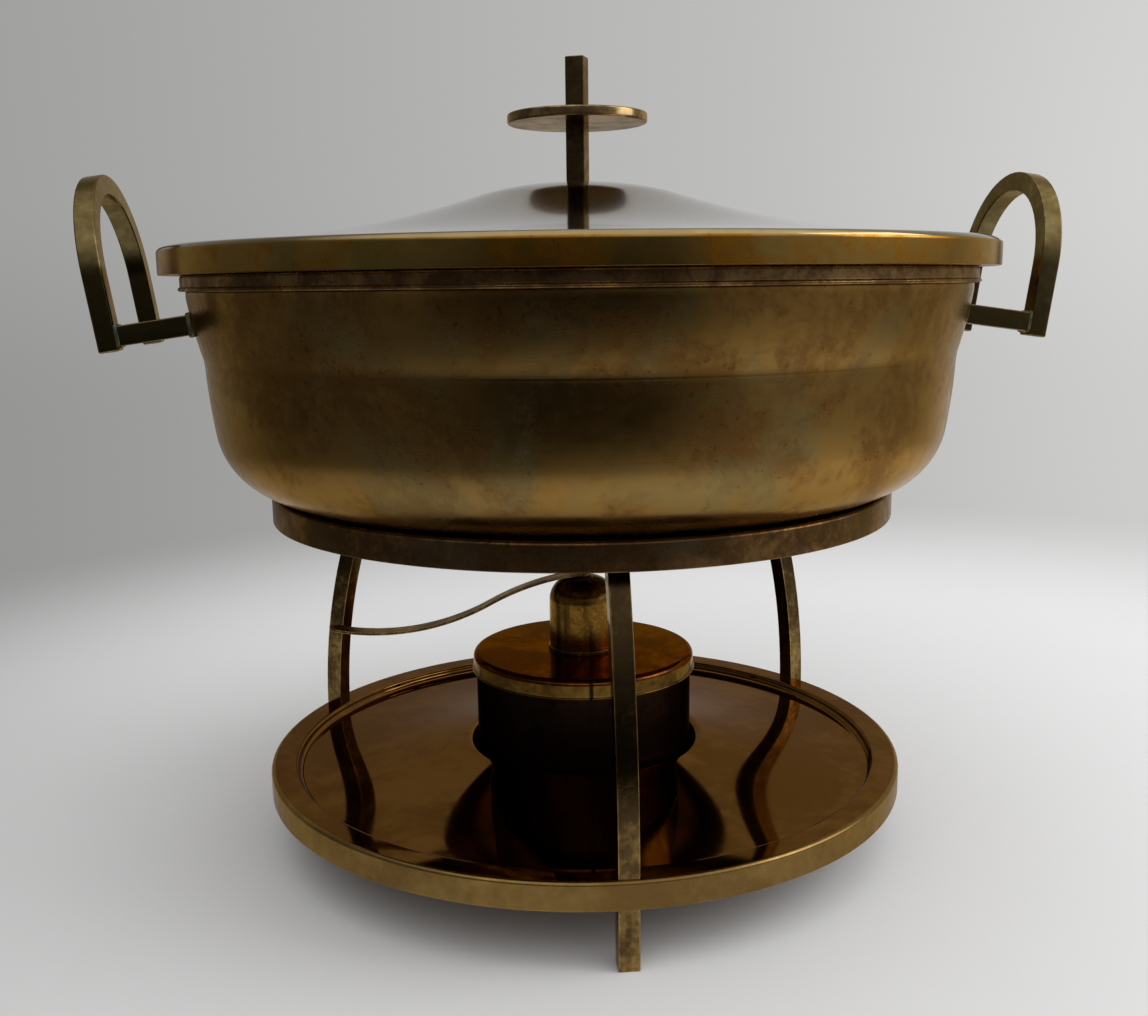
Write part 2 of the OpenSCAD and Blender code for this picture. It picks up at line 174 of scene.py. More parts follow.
def blotches(tree, coords, size, detail=5.0, warp=0.0):
    """Cloudy noise from 0 to 1 with patches of about the given size in millimetres."""
    inputs = {"Vector": coords, "Scale": 1 / (size * MM), "Detail": detail, "Roughness": 0.6,
              "Distortion": warp}
    return add_node(tree, "TexNoise", inputs).outputs[0]


def soft_step(tree, value, low, high, bottom=0.0, top=1.0):
    """A value's smooth rise from bottom to top as it goes from low to high."""
    inputs = {"Value": value, "From Min": low, "From Max": high, "To Min": bottom, "To Max": top}
    return add_node(tree, "MapRange", inputs, interpolation_type="SMOOTHSTEP").outputs[0]


def calculate(tree, operation, first, second):
    """One step of arithmetic between two sockets or numbers."""
    return add_node(tree, "Math", {0: first, 1: second}, operation=operation).outputs[0]


def mix_tones(tree, share, first, second):
    """A colour between two others, by the share of the second."""
    tones = [(*tone, 1) if isinstance(tone, tuple) else tone for tone in (first, second)]
    return add_node(tree, "Mix", {0: share, 6: tones[0], 7: tones[1]}, data_type="RGBA").outputs[2]


def lathe_lines(tree, coords, pitch):
    """Fine rings round the upright axis, as a lathe and years of polishing leave them."""
    flat = add_node(tree, "VectorMath", {0: coords, 1: (1, 1, 0)}, operation="MULTIPLY").outputs[0]
    round_axis = add_node(tree, "VectorMath", {0: flat}, operation="NORMALIZE").outputs[0]
    reach = add_node(tree, "VectorMath", {0: flat}, operation="LENGTH").outputs["Value"]
    height = add_node(tree, "SeparateXYZ", {0: coords}).outputs["Z"]
    along = add_node(tree, "CombineXYZ", {"Z": calculate(tree, "ADD", reach, height)}).outputs[0]
    few_turns = add_node(tree, "VectorMath", {0: round_axis, "Scale": 4 * MM}, operation="SCALE").outputs[0]
    where = add_node(tree, "VectorMath", {0: along, 1: few_turns}, operation="ADD").outputs[0]
    return blotches(tree, where, pitch, detail=2.0)


def aged_brass(name, bright, brown, stain=(0.03, 0.018, 0.008), cover=0.5, patch=26.0, rough=(0.2, 0.4),
               lines=0.15, dents=0.15, spots=0.3, streaks=0.0, tint=None, tinted=0.0, wear=0.0,
               worn=(0.55, 0.38, 0.14), edge=(0.85, 0.71, 0.54), coat=0.0, soot=None):
    """Brass with a patchy brown patina, dark spots, runs and tints, lathe lines and edges worn bright."""
    speck_size = 1.6
    smudge_size = 11.0
    run_width = 3.0
    line_pitch = 0.35
    line_depth = 0.02
    dent_depth = 0.12
    worn_width = 0.7
    patina_blur = 0.09
    gloss_blur = 0.16
    material = bpy.data.materials.new(name)
    material.use_nodes = True
    tree = material.node_tree
    skin = tree.nodes["Principled BSDF"]
    coords = add_node(tree, "TexCoord").outputs["Object"]
    cloud = blotches(tree, coords, patch, warp=0.7)
    grain = blotches(tree, coords, patch / 9)
    speck = blotches(tree, coords, speck_size, detail=2.0)
    ring = lathe_lines(tree, coords, line_pitch)

    cloud_part = calculate(tree, "MULTIPLY", cloud, 0.7)
    both = calculate(tree, "ADD", cloud_part, calculate(tree, "MULTIPLY", grain, 0.3))
    middle = 0.64 - 0.28 * cover
    patina = soft_step(tree, both, middle - patina_blur, middle + patina_blur)
    tone = mix_tones(tree, patina, bright, brown)
    if tint:
        shifted = add_node(tree, "Mapping", {"Vector": coords, "Location": (0.31, 0.17, 0.05)}).outputs[0]
        tint_cloud = blotches(tree, shifted, patch * 1.3, warp=0.4)
        tone = mix_tones(tree, soft_step(tree, tint_cloud, 0.5, 0.68, 0.0, tinted), tone, tint)
    if soot:
        height = add_node(tree, "SeparateXYZ", {0: coords}).outputs["Z"]
        ragged = calculate(tree, "ADD", height, calculate(tree, "MULTIPLY", grain, 5 * MM))
        clean_z, sooty_z = soot
        sooted = soft_step(tree, ragged, clean_z * MM, sooty_z * MM, 0.0, 0.8)
        tone = mix_tones(tree, sooted, tone, stain)
    if streaks:
        stretched = add_node(tree, "Mapping", {"Vector": coords, "Scale": (1, 1, 0.06)}).outputs[0]
        run = blotches(tree, stretched, run_width, detail=3.0)
        tone = mix_tones(tree, soft_step(tree, run, 0.46, 0.66, 0.0, streaks), tone, stain)
    spotted = calculate(tree, "MULTIPLY", soft_step(tree, speck, 0.6, 0.7), soft_step(tree, cloud, 0.4, 0.6))
    smudge = soft_step(tree, blotches(tree, coords, smudge_size, warp=1.0), 0.6, 0.74, 0.0, 0.7)
    dark = calculate(tree, "MAXIMUM", spotted, smudge)
    tone = mix_tones(tree, calculate(tree, "MULTIPLY", dark, spots), tone, stain)
    low_rough, high_rough = rough
    gloss = soft_step(tree, both, middle - gloss_blur, middle + gloss_blur, low_rough, high_rough)
    sway = calculate(tree, "SUBTRACT", ring, 0.5)
    gloss = calculate(tree, "ADD", gloss, calculate(tree, "MULTIPLY", sway, 0.25 * lines))
    if wear:
        softened = add_node(tree, "Bevel", {"Radius": worn_width * MM}, samples=6).outputs[0]
        facing = add_node(tree, "NewGeometry").outputs["Normal"]
        normals = {0: softened, 1: facing}
        match = add_node(tree, "VectorMath", normals, operation="DOT_PRODUCT").outputs["Value"]
        uneven = calculate(tree, "MULTIPLY", calculate(tree, "SUBTRACT", both, 0.5), 0.4)
        rubbed = calculate(tree, "ADD", match, uneven)
        bare = soft_step(tree, rubbed, 0.99, 0.86, 0.0, wear)
        tone = mix_tones(tree, bare, tone, worn)
        gloss = calculate(tree, "MULTIPLY", gloss, soft_step(tree, bare, 0.0, 1.0, 1.0, 0.75))
    tree.links.new(tone, skin.inputs["Base Color"])
    tree.links.new(gloss, skin.inputs["Roughness"])
    skin.inputs["Metallic"].default_value = 1.0
    skin.inputs["Specular Tint"].default_value = (*edge, 1)
    skin.inputs["Coat Weight"].default_value = coat
    skin.inputs["Coat Roughness"].default_value = 0.12
    dent = calculate(tree, "ADD", calculate(tree, "MULTIPLY", cloud, 6.0), grain)
    hollow = {"Strength": dents, "Distance": dent_depth * MM, "Height": dent}
    dented = add_node(tree, "Bump", hollow).outputs[0]
    groove = {"Strength": lines, "Distance": line_depth * MM, "Height": ring, "Normal": dented}
    grooved = add_node(tree, "Bump", groove).outputs[0]
    tree.links.new(grooved, skin.inputs["Normal"])
    return material


leg_low, leg_high = corners("leg_front")
bar = leg_high.x - leg_low.x
leg_r = -leg_low.y - bar / 2
burner_r = corners("burner_cup")[1].x
tray_low, tray_high = corners("tray")
tray_r = tray_high.x
tray_sheet = 0.8
tray_band = 8.3
rim_edge = 1.2
rim_web = 0.5
floor_step = 3.0
floor_rise = 5.8
well_lip = 2.5
well_corner = 2.0
well_gap = 1.0
leg_hole_gap = 0.05
floor_z = tray_high.z - floor_rise
rim_z = floor_z + floor_step
well_z = tray_low.z + tray_sheet
well_r = burner_r + well_gap
rim_r = leg_r - bar / 2 - rim_web
cove = floor_step - rim_edge
hollow_r = rim_r - rim_edge - cove
hollow_w = hollow_r - well_r - well_lip
hollow_turn = 2 * math.degrees(math.atan(floor_rise / hollow_w))
hollow_curve = hollow_w / sine(hollow_turn) - well_lip
LEG_TURNS = {"front": -90, "right": 30, "left": 150}


def tray_side(depth):
    """The tray's outline from its outer edge to the middle, at a depth below its upper face."""
    return [
        (tray_r - depth, rim_z - tray_band),
        *arc((tray_r - rim_edge, rim_z - rim_edge), rim_edge - depth, 0, 90),
        *arc((rim_r, rim_z - rim_edge), rim_edge - depth, 90, 180),
        *arc((hollow_r, floor_z + cove), cove + depth, 0, -90),
        *arc((hollow_r, floor_z + hollow_curve), hollow_curve + depth, -90, -90 - hollow_turn, 30)[1:],
        *arc((well_r + well_lip, tray_high.z - well_lip), well_lip - depth, 90 - hollow_turn, 180)[1:],
        *arc((well_r - well_corner, well_z + well_corner), well_corner + depth, 0, -90),
        (0, well_z - depth),
    ]


tray = spin_sheet("tray_spun", tray_side(0) + tray_side(tray_sheet)[::-1])
round_edges(tray, width=0.25)
for turn in LEG_TURNS.values():
    bpy.ops.object.select_all(action="DESELECT")
    bpy.ops.mesh.primitive_cube_add(size=(bar + 2 * leg_hole_gap) * MM)
    hole = bpy.context.object
    spot = Vector((leg_r, 0, rim_z)) * MM
    hole.rotation_euler.z = math.radians(turn)
    hole.location = Matrix.Rotation(math.radians(turn), 3, "Z") @ spot
    trim(tray, hole)
smooth(tray)
tray_floor_brass = aged_brass("tray_floor_brass", (0.2, 0.095, 0.024), (0.14, 0.065, 0.016), patch=45,
                              rough=(0.03, 0.07), lines=0.02, dents=0.02, spots=0.15,
                              edge=(0.58, 0.52, 0.49))
tray_band_brass = aged_brass("tray_band_brass", (0.22, 0.135, 0.042), (0.17, 0.1, 0.031), cover=0.45,
                             patch=30, rough=(0.22, 0.32), lines=0.2, dents=0.04, spots=0.15, wear=0.5)
paint(tray, tray_floor_brass)
paint(tray, tray_band_brass, lambda middle, normal: middle.xy.length > tray_r - rim_edge)
stand_for(tray, "tray", "stand")

# Legs: three lengths of square brass bar. Each stands upright through the tray's rim and is then bent
# inwards in one long arc, up to the ring that it is soldered under. Their edges are rubbed bright, and their
# upper parts are sooty.
ring_low, ring_high = corners("support_ring")
leg_inset = 20.4
leg_lean = leg_r - (ring_high.x - leg_inset)
leg_rise = leg_high.z - rim_z
leg_bend_r = (leg_lean ** 2 + leg_rise ** 2) / (2 * leg_lean)
leg_bend = math.asin(leg_rise / leg_bend_r)
leg_steps = 16


def start_bar(name, place, turned=(0, 0, 0)):
    """A new piece in edit mode: the square end of a bar, selected and ready to be drawn out."""
    bpy.ops.object.select_all(action="DESELECT")
    bpy.ops.mesh.primitive_plane_add(size=bar * MM, location=[along * MM for along in place], rotation=turned)
    piece = bpy.context.object
    piece.name = piece.data.name = name
    bpy.ops.object.transform_apply(location=True, rotation=True, scale=True)
    bpy.ops.object.mode_set(mode="EDIT")
    bpy.ops.mesh.select_all(action="SELECT")
    return piece


def draw_out(way):
    """Draws the selected end of a bar out along a way in millimetres."""
    bpy.ops.mesh.extrude_region_move(TRANSFORM_OT_translate={"value": [along * MM for along in way]})


leg_brass = aged_brass("leg_brass", (0.26, 0.165, 0.055), (0.1, 0.06, 0.024), cover=0.55, patch=14,
                       rough=(0.09, 0.2), lines=0.05, dents=0.12, spots=0.25, streaks=0.3, wear=0.95,
                       worn=(0.6, 0.42, 0.16), soot=(rim_z - 4.0, rim_z + 45.0))
for side, turn in LEG_TURNS.items():
    leg = start_bar("leg_" + side + "_bar", (leg_r, 0, 0))
    draw_out((0, 0, rim_z))
    bpy.ops.mesh.spin(steps=leg_steps, angle=leg_bend, center=((leg_r - leg_bend_r) * MM, 0, rim_z * MM),
                      axis=(0, 1, 0))
    bpy.ops.transform.resize(value=(1, 1, 0), center_override=(0, 0, leg_high.z * MM))
    finish_mesh()
    leg.rotation_euler.z = math.radians(turn)
    bpy.ops.object.transform_apply(location=True, rotation=True, scale=True)
    round_edges(leg, width=0.35)
    smooth(leg)
    paint(leg, leg_brass)
    stand_for(leg, "leg_" + side, "stand")

# Support ring: a flat ring of brass sheet with its outer edge turned down to a band. It is soldered on the
# three legs, carries the pan round its bottom and has gone dark brown in the heat of the flame.
ring_sheet = 1.5
ring_w = 26.0
ring_outline = [
    (ring_high.x - ring_w, ring_high.z),
    *arc((ring_high.x - ring_sheet, ring_high.z - ring_sheet), ring_sheet, 90, 0),
    (ring_high.x, ring_low.z),
    (ring_high.x - ring_sheet, ring_low.z),
    (ring_high.x - ring_sheet, ring_high.z - ring_sheet),
    (ring_high.x - ring_w, ring_high.z - ring_sheet),
]
ring = spin_sheet("support_ring_spun", ring_outline)
round_edges(ring, width=0.3)
smooth(ring)
ring_brass = aged_brass("ring_brass", (0.2, 0.105, 0.038), (0.08, 0.042, 0.016), cover=0.6, patch=18,
                        rough=(0.2, 0.36), lines=0.1, dents=0.12, spots=0.6, tint=(0.1, 0.085, 0.05),
                        tinted=0.5, wear=0.3)
paint(ring, ring_brass)
stand_for(ring, "support_ring", "stand")

# Burner cup: a drawn brass cup for the spirit, which stands in the tray's well. Heat and spilt spirit have
# darkened it. On top of that its finish is painted almost black, with a faint brown gloss, as painted shade
# for the deep shadow it stands in under the pan.
cup_low, cup_high = corners("burner_cup")
burner_sheet = 0.7
cup_corner = 2.0


def cup_side(depth):
    """The cup's outline from the middle of its bottom to its top edge, at a depth in from its outside."""
    return [
        (0, cup_low.z + depth),
        *arc((burner_r - cup_corner, cup_low.z + cup_corner), cup_corner - depth, -90, 0),
        (burner_r - depth, cup_high.z),
    ]


cup = spin_sheet("burner_cup_spun", cup_side(0) + cup_side(burner_sheet)[::-1])
smooth(cup)
# Almost black colour and dull edge tint: burnt brass plus painted shade, which also darkens the cup's mirror
# image in the tray.
burner_brown = aged_brass("burner_brown", (0.028, 0.014, 0.008), (0.014, 0.008, 0.005), cover=0.6, patch=20,
                          rough=(0.28, 0.42), lines=0.12, dents=0.08, spots=0.3, edge=(0.26, 0.23, 0.21))
paint(cup, burner_brown)
stand_for(cup, "burner_cup", "burner")

# Burner cover: a shallow pressed lid that fits over the cup. Its top is burnt red-brown, its skirt is still
# golden, and a bead runs along the skirt's lower edge.
cover_low, cover_high = corners("burner_cover")
cover_bead = 0.4
cover_r = cover_high.x - cover_bead
cover_edge = 1.9
wick_tube_r = 7.95
cover_outline = [
    (wick_tube_r, cover_high.z),
    *arc((cover_r - cover_edge, cover_high.z - cover_edge), cover_edge, 90, 0, 5),
    *arc((cover_r, cover_low.z + cover_bead), cover_bead, 90, -90, 8),
    (cover_r - burner_sheet, cover_low.z),
    *arc((cover_r - cover_edge, cover_high.z - cover_edge), cover_edge - burner_sheet, 0, 90, 5),
    (wick_tube_r, cover_high.z - burner_sheet),
]
cover = spin_sheet("burner_cover_spun", cover_outline)
smooth(cover)
cover_top_brown = aged_brass("cover_top_brown", (0.17, 0.056, 0.013), (0.06, 0.02, 0.007), cover=0.62,
                             patch=20, rough=(0.1, 0.2), lines=0.05, dents=0.06, spots=0.3,
                             edge=(0.6, 0.46, 0.36))
cover_skirt_brass = aged_brass("cover_skirt_brass", (0.125, 0.068, 0.012), (0.06, 0.03, 0.006), patch=22,
                               rough=(0.1, 0.2), lines=0.15, dents=0.04, spots=0.15, streaks=0.2, wear=0.25)
paint(cover, cover_top_brown)
skirt_top = cover_high.z - 0.9 * cover_edge
paint(cover, cover_skirt_brass, lambda middle, normal: middle.z < skirt_top)
stand_for(cover, "burner_cover", "burner_cover")

# Wick tube: a short brass tube soldered through the cover, with a low flange that the snuffer sits on.
# It is brown, with dark runs and spots.
tube_low, tube_high = corners("wick_tube")
tube_wall = 0.8
flange_h = 1.3
flange_r = tube_high.x
tube_outline = [
    (wick_tube_r, tube_low.z),
    (wick_tube_r, cover_high.z),
    (flange_r, cover_high.z),
    (flange_r, cover_high.z + flange_h),
    (wick_tube_r, cover_high.z + flange_h),
    (wick_tube_r, tube_high.z),
    (wick_tube_r - tube_wall, tube_high.z),
    (wick_tube_r - tube_wall, tube_low.z),
]
tube = spin_sheet("wick_tube_turned", tube_outline, steps=72)
round_edges(tube, width=0.2)
smooth(tube)
tube_brass = aged_brass("tube_brass", (0.36, 0.23, 0.08), (0.1, 0.05, 0.025), cover=0.6, patch=8,
                        rough=(0.2, 0.4), lines=0.15, dents=0.08, spots=0.5, streaks=0.4, wear=0.4)
paint(tube, tube_brass)
stand_for(tube, "wick_tube", "burner_cover")

# Wick: a thick rope of twisted cotton strands, held in the tube and hanging in the spirit. Its top is frayed
# and charred black.
wick_low, wick_high = corners("wick")
wick_strands = 8
wick_sides = 6 * wick_strands
wick_furrow = 0.84
wick_steps = 32
wick_plump = 0.7
wick_turn = 150
wick_twist = math.radians(wick_turn) / wick_steps
wick_frays = (0.8, 0.5)
fray_inset = 0.6
fray_offset = 0.25

bpy.ops.object.select_all(action="DESELECT")
bpy.ops.mesh.primitive_circle_add(vertices=wick_sides, radius=wick_high.x * MM, fill_type="NGON",
                                  location=(0, 0, wick_low.z * MM))
wick = bpy.context.object
wick.name = wick.data.name = "wick_twisted"
bpy.ops.object.transform_apply(location=True, rotation=True, scale=True)
for vertex in wick.data.vertices:
    swell = abs(math.sin(vertex.index * math.pi * wick_strands / wick_sides))
    vertex.co.xy *= wick_furrow + (1 - wick_furrow) * swell ** wick_plump
bpy.ops.object.mode_set(mode="EDIT")
bpy.ops.mesh.select_all(action="SELECT")
wick_rise = (wick_high.z - wick_low.z) * MM / wick_steps
for step in range(wick_steps):
    bpy.ops.mesh.extrude_region_move(TRANSFORM_OT_translate={"value": (0, 0, wick_rise)})
    bpy.ops.transform.rotate(value=wick_twist, orient_axis="Z", center_override=(0, 0, 0))
for fray in wick_frays:
    bpy.ops.mesh.inset(thickness=wick_high.x * MM * (1 - fray) * fray_inset)
    bpy.ops.transform.vertex_random(offset=fray_offset * MM, seed=int(fray * 10))
finish_mesh()
take(wick)
bpy.ops.object.shade_smooth()

wick_cotton = bpy.data.materials.new("wick_cotton")
wick_cotton.use_nodes = True
wick_tree = wick_cotton.node_tree
wick_skin = wick_tree.nodes["Principled BSDF"]
wick_coords = add_node(wick_tree, "TexCoord").outputs["Object"]
wick_height = add_node(wick_tree, "SeparateXYZ", {0: wick_coords}).outputs["Z"]
cotton_fuzz = blotches(wick_tree, wick_coords, 0.5)
cotton_cloud = blotches(wick_tree, wick_coords, 5.0)
cotton = mix_tones(wick_tree, cotton_cloud, (0.62, 0.55, 0.42), (0.42, 0.34, 0.22))
char_start = calculate(wick_tree, "ADD", wick_height, calculate(wick_tree, "MULTIPLY", cotton_cloud, 4 * MM))
charred = soft_step(wick_tree, char_start, (wick_high.z - 3.0) * MM, (wick_high.z + 0.5) * MM)
cotton = mix_tones(wick_tree, charred, cotton, (0.012, 0.01, 0.009))
wick_tree.links.new(cotton, wick_skin.inputs["Base Color"])
wick_skin.inputs["Roughness"].default_value = 0.95
fuzz = add_node(wick_tree, "Bump", {"Strength": 0.8, "Distance": 0.3 * MM, "Height": cotton_fuzz}).outputs[0]
wick_tree.links.new(fuzz, wick_skin.inputs["Normal"])
paint(wick, wick_cotton)
stand_for(wick, "wick", "burner_cover")

# Snuffer cap: a drawn brass cap with a domed top, put over the wick to kill the flame. It is golden, with
# dark runs down its side and soot over its crown.
cap_low, cap_high = corners("snuffer_cap")
cap_r = cap_high.x
cap_dome = 8.0
cap_sheet = 0.8


def cap_side(depth):
    """The cap's outline from the middle of its crown to its lower edge, at a depth in from its outside."""
    return [
        (0, cap_high.z - depth),
        *arc((cap_r - cap_dome, cap_high.z - cap_dome), cap_dome - depth, 90, 0, 14),
        (cap_r - depth, cap_low.z),
    ]


cap = spin_sheet("snuffer_cap_spun", cap_side(0) + cap_side(cap_sheet)[::-1], steps=96)
round_edges(cap, width=0.2)
smooth(cap)
cap_brass = aged_brass("cap_brass", (0.34, 0.175, 0.026), (0.17, 0.085, 0.014), cover=0.45, patch=9,
                       rough=(0.2, 0.32), lines=0.1, dents=0.1, spots=0.4, streaks=0.85,
                       soot=(cap_high.z - 9.0, cap_high.z + 1.0))
paint(cap, cap_brass)
stand_for(cap, "snuffer_cap", "snuffer")

# Snuffer handle: a thin strip of brass with round ends, riveted flat on the cap's crown. It droops away
# from the heat and turns up again at its tip. It is dark brown, with edges rubbed bright.
strip_w = 6.0
strip_t = 1.0
strip_reach = 86.0
strip_turn_at = 31.0
strip_start = 10.0
strip_slope = 29.0
strip_tip = 12.0
strip_bend_r = 12.0
strip_turn = 174.0
strip_spare = 0.5
strip_z = cap_high.z + strip_t / 2
bend_end = strip_w / 2 + strip_bend_r * sine(strip_start)
bend_end_z = strip_z - strip_bend_r * (1 - cosine(strip_start))
droop_r = (strip_turn_at - bend_end) / (sine(strip_slope) - sine(strip_start))
droop_middle = (bend_end - droop_r * sine(strip_start), bend_end_z - droop_r * cosine(strip_start))
turn_z = bend_end_z - droop_r * (cosine(strip_start) - cosine(strip_slope))
upturn_r = (strip_reach - strip_turn_at) / (sine(strip_slope) + sine(strip_tip))
upturn_middle = (strip_turn_at + upturn_r * sine(strip_slope), turn_z + upturn_r * cosine(strip_slope))
spare_tip = strip_tip + math.degrees(strip_spare / upturn_r)
strip_line = [
    (-strip_w / 2 - strip_spare, strip_z),
    *arc((strip_w / 2, strip_z - strip_bend_r), strip_bend_r, 90, 90 - strip_start, 4),
    *arc(droop_middle, droop_r, 90 - strip_start, 90 - strip_slope, 12)[1:],
    *arc(upturn_middle, upturn_r, 270 - strip_slope, 270 + spare_tip, 20)[1:],
]
strip_edge = strip_w / 2 + strip_spare
strip_points = [Vector((reach, -strip_edge, height)) * MM for reach, height in strip_line]
strip = draw_line("snuffer_strip", strip_points, False)
bpy.ops.mesh.extrude_edges_move(TRANSFORM_OT_translate={"value": (0, 2 * strip_edge * MM, 0)})
finish_mesh()
take(strip)
gauge = strip.modifiers.new("gauge", "SOLIDIFY")
gauge.thickness = strip_t * MM
gauge.offset = 0
bpy.ops.object.modifier_apply(modifier=gauge.name)

bpy.ops.object.select_all(action="DESELECT")
bpy.ops.mesh.primitive_cube_add(size=1, location=((strip_reach - strip_w / 2) / 2 * MM, 0, strip_z * MM))
strip_plan = bpy.context.object
strip_plan.scale = ((strip_reach + strip_w / 2) * MM, strip_w * MM, strip_reach * MM)
bpy.ops.object.transform_apply(location=True, rotation=True, scale=True)
plan_points = strip_plan.data.vertices
upright = [abs(plan_points[first].co.z - plan_points[second].co.z) > MM
           for first, second in (edge.vertices for edge in strip_plan.data.edges)]
bpy.ops.object.mode_set(mode="EDIT")
bpy.ops.mesh.select_mode(type="EDGE")
bpy.ops.mesh.select_all(action="DESELECT")
bpy.ops.object.mode_set(mode="OBJECT")
for edge, stands in zip(strip_plan.data.edges, upright):
    edge.select = stands
bpy.ops.object.mode_set(mode="EDIT")
strip_end_r = strip_w / 2 * 0.99
bpy.ops.mesh.bevel(offset=strip_end_r * MM, segments=12, affect="EDGES")
bpy.ops.object.mode_set(mode="OBJECT")
trim(strip, strip_plan, "INTERSECT")
take(strip)
strip.rotation_euler.z = math.radians(strip_turn)
bpy.ops.object.transform_apply(location=True, rotation=True, scale=True)
round_edges(strip, width=0.22)
smooth(strip)
strip_brass = aged_brass("strip_brass", (0.13, 0.072, 0.027), (0.055, 0.03, 0.012), cover=0.55, patch=10,
                         rough=(0.18, 0.34), lines=0.05, dents=0.15, spots=0.4, wear=0.9)
paint(strip, strip_brass)
stand_for(strip, "snuffer_handle", "snuffer")

# Snuffer rivet: a plain brass rivet through the strip and the cap's crown. A low round head is hammered on
# each side.
rivet_low, rivet_high = corners("snuffer_rivet")
rivet_r = 1.5
rivet_head_r = rivet_high.x
rivet_head_h = 0.8
rivet_over = rivet_high.z - rivet_head_h
rivet_under = rivet_low.z + rivet_head_h
head_curve = (rivet_head_r ** 2 + rivet_head_h ** 2) / (2 * rivet_head_h)
head_half = math.degrees(math.asin(rivet_head_r / head_curve))
rivet_outline = [
    *arc((0, rivet_low.z + head_curve), head_curve, -90, -90 + head_half, 6),
    (rivet_r, rivet_under),
    (rivet_r, rivet_over),
    *arc((0, rivet_high.z - head_curve), head_curve, 90 - head_half, 90, 6),
]
rivet = spin_sheet("snuffer_rivet_hammered", rivet_outline, steps=40)
smooth(rivet)
fastener_brass = aged_brass("fastener_brass", (0.46, 0.33, 0.13), (0.24, 0.15, 0.06), patch=4,
                            rough=(0.2, 0.36), lines=0.1, dents=0.2, spots=0.4, wear=0.5)
paint(rivet, fastener_brass)
stand_for(rivet, "snuffer_rivet", "snuffer")

# Water pan: a round pan of brass sheet, spun on a lathe. A crease runs round its wall where the collar
# begins to flare. Its satin face has gone brown and olive in patches and is darker towards the flame.
pan_low, pan_high = corners("water_pan")
pan_sheet = 1.2
bowl_h = 42.0
bowl_corner = 23.5
wall_top_lean = 2.0
wall_foot_lean = 9.0
collar_flare = 4.2
neck_h = 1.9
neck_r = pan_high.x
crease_r = neck_r - collar_flare
crease_z = pan_low.z + bowl_h
neck_z = pan_high.z - neck_h
flare_h = neck_z - crease_z
flare_bow = 4.5
crease_ridge = 0.15
ridge_r = 3.0
flare_lean = math.degrees(math.atan(collar_flare / flare_h))
flare_r = math.hypot(collar_flare, flare_h) / (2 * sine(flare_bow))
flare_middle = (neck_r - flare_r * cosine(flare_lean - flare_bow),
                neck_z + flare_r * sine(flare_lean - flare_bow))
wall_h = bowl_h - bowl_corner * (1 - sine(wall_foot_lean))
wall_r = wall_h / (sine(wall_foot_lean) - sine(wall_top_lean))
wall_middle = (crease_r - wall_r * cosine(wall_top_lean), crease_z + wall_r * sine(wall_top_lean))
bowl_flat_r = wall_middle[0] + (wall_r - bowl_corner) * cosine(wall_foot_lean)


def pan_side(depth):
    """The pan's outline from the middle of its bottom to its top edge, at a depth in from its outside."""
    ridge = arc((crease_r + crease_ridge - ridge_r - depth, crease_z), ridge_r, -14, 4, 5)
    return [
        (0, pan_low.z + depth),
        *arc((bowl_flat_r, pan_low.z + bowl_corner), bowl_corner - depth, -90, -wall_foot_lean, 22),
        *arc(wall_middle, wall_r - depth, -wall_foot_lean, -wall_top_lean, 12)[1:-1],
        *ridge,
        *arc(flare_middle, flare_r - depth, -flare_lean - flare_bow, flare_bow - flare_lean, 14)[1:],
        (neck_r - depth, pan_high.z),
    ]


pan = spin_sheet("water_pan_spun", pan_side(0) + pan_side(pan_sheet)[::-1])
round_edges(pan, width=0.3)
smooth(pan)
pan_brass = aged_brass("pan_brass", (0.31, 0.174, 0.045), (0.195, 0.097, 0.026), patch=30,
                       rough=(0.18, 0.32), lines=0.2, dents=0.04, spots=0.45, tint=(0.24, 0.18, 0.07),
                       tinted=0.7, soot=(pan_low.z + 30.0, pan_low.z - 60.0))
pan_inside_brass = aged_brass("pan_inside_brass", (0.4, 0.3, 0.15), (0.26, 0.18, 0.09), patch=22,
                              rough=(0.3, 0.45), lines=0.25, dents=0.06, spots=0.5)
paint(pan, pan_brass)
paint(pan, pan_inside_brass, lambda middle, normal: normal.x * middle.x + normal.y * middle.y < -0.02 * neck_r
      or normal.z > 0.5)
stand_for(pan, "water_pan", "pan")

# Handles: two arches of square brass bar, each carried by two short straps of the same bar that are
# soldered to the collar. Their edges are rubbed bright, and verdigris has grown in the soldered corners.
handle_span = 54.9
handle_rise = 18.0
handle_drop = 4.2
handle_reach = 19.6
handle_seat = 8.0
handle_lean = 8.0
handle_steps = 28
strap_bite = 0.6
saw_insets = (0.5, 0.8, 0.7)
saw_marks = 0.3
solder_round = 0.5
solder_lumps = 0.22
sawn_area = 4.0
HANDLE_TURNS = {"right": 0, "left": 180}
STRAP_ENDS = {"front": -1, "rear": 1}
handle_brass = aged_brass("handle_brass", (0.17, 0.127, 0.05), (0.105, 0.077, 0.031), patch=24,
                          rough=(0.16, 0.28), lines=0.03, dents=0.08, spots=0.25, tint=(0.1, 0.07, 0.03),
                          tinted=0.7, wear=0.6, worn=(0.52, 0.43, 0.24))


def seat_handle(piece, turn):
    """Leans a piece that was made about the handle's foot outwards and puts it at its side of the pan."""
    take(piece)
    lean = Matrix.Rotation(math.radians(handle_lean), 4, "Y")
    out = Matrix.Translation(Vector((neck_r + handle_reach, 0, crease_z + handle_seat)) * MM)
    piece.matrix_world = Matrix.Rotation(math.radians(turn), 4, "Z") @ out @ lean
    bpy.ops.object.transform_apply(location=True, rotation=True, scale=True)


